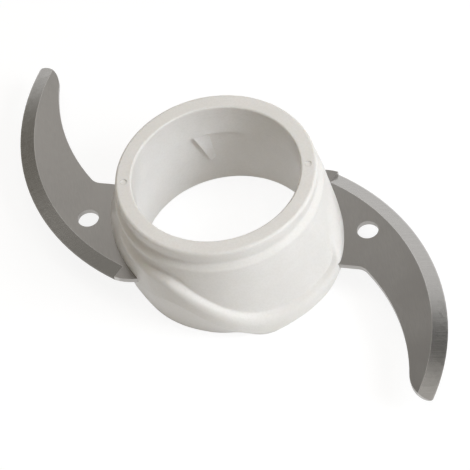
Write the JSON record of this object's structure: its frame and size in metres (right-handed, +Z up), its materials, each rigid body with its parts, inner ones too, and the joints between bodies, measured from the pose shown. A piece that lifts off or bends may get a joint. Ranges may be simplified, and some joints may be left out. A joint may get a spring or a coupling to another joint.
{
  "type": "food processor blade",
  "caption": "Flat steel chopping blade with swept, bevelled arms, moulded into a white plastic ring hub that drops over a wide drive column.",
  "frame": {"origin": "on the hub axis, at the foot of the hub", "axes": "+Z up the hub axis, away from the bowl floor; the arm holes lie near the X axis and the arm tips point along -Y and +Y"},
  "size_m": [0.1608, 0.2196, 0.0498],
  "materials": {
    "hub": "satin white moulded plastic",
    "blade": "fine-ground stainless sheet"
  },
  "bodies": {
    "root": {"hub": "hub", "blade": "blade"}
  },
  "joints": []
}
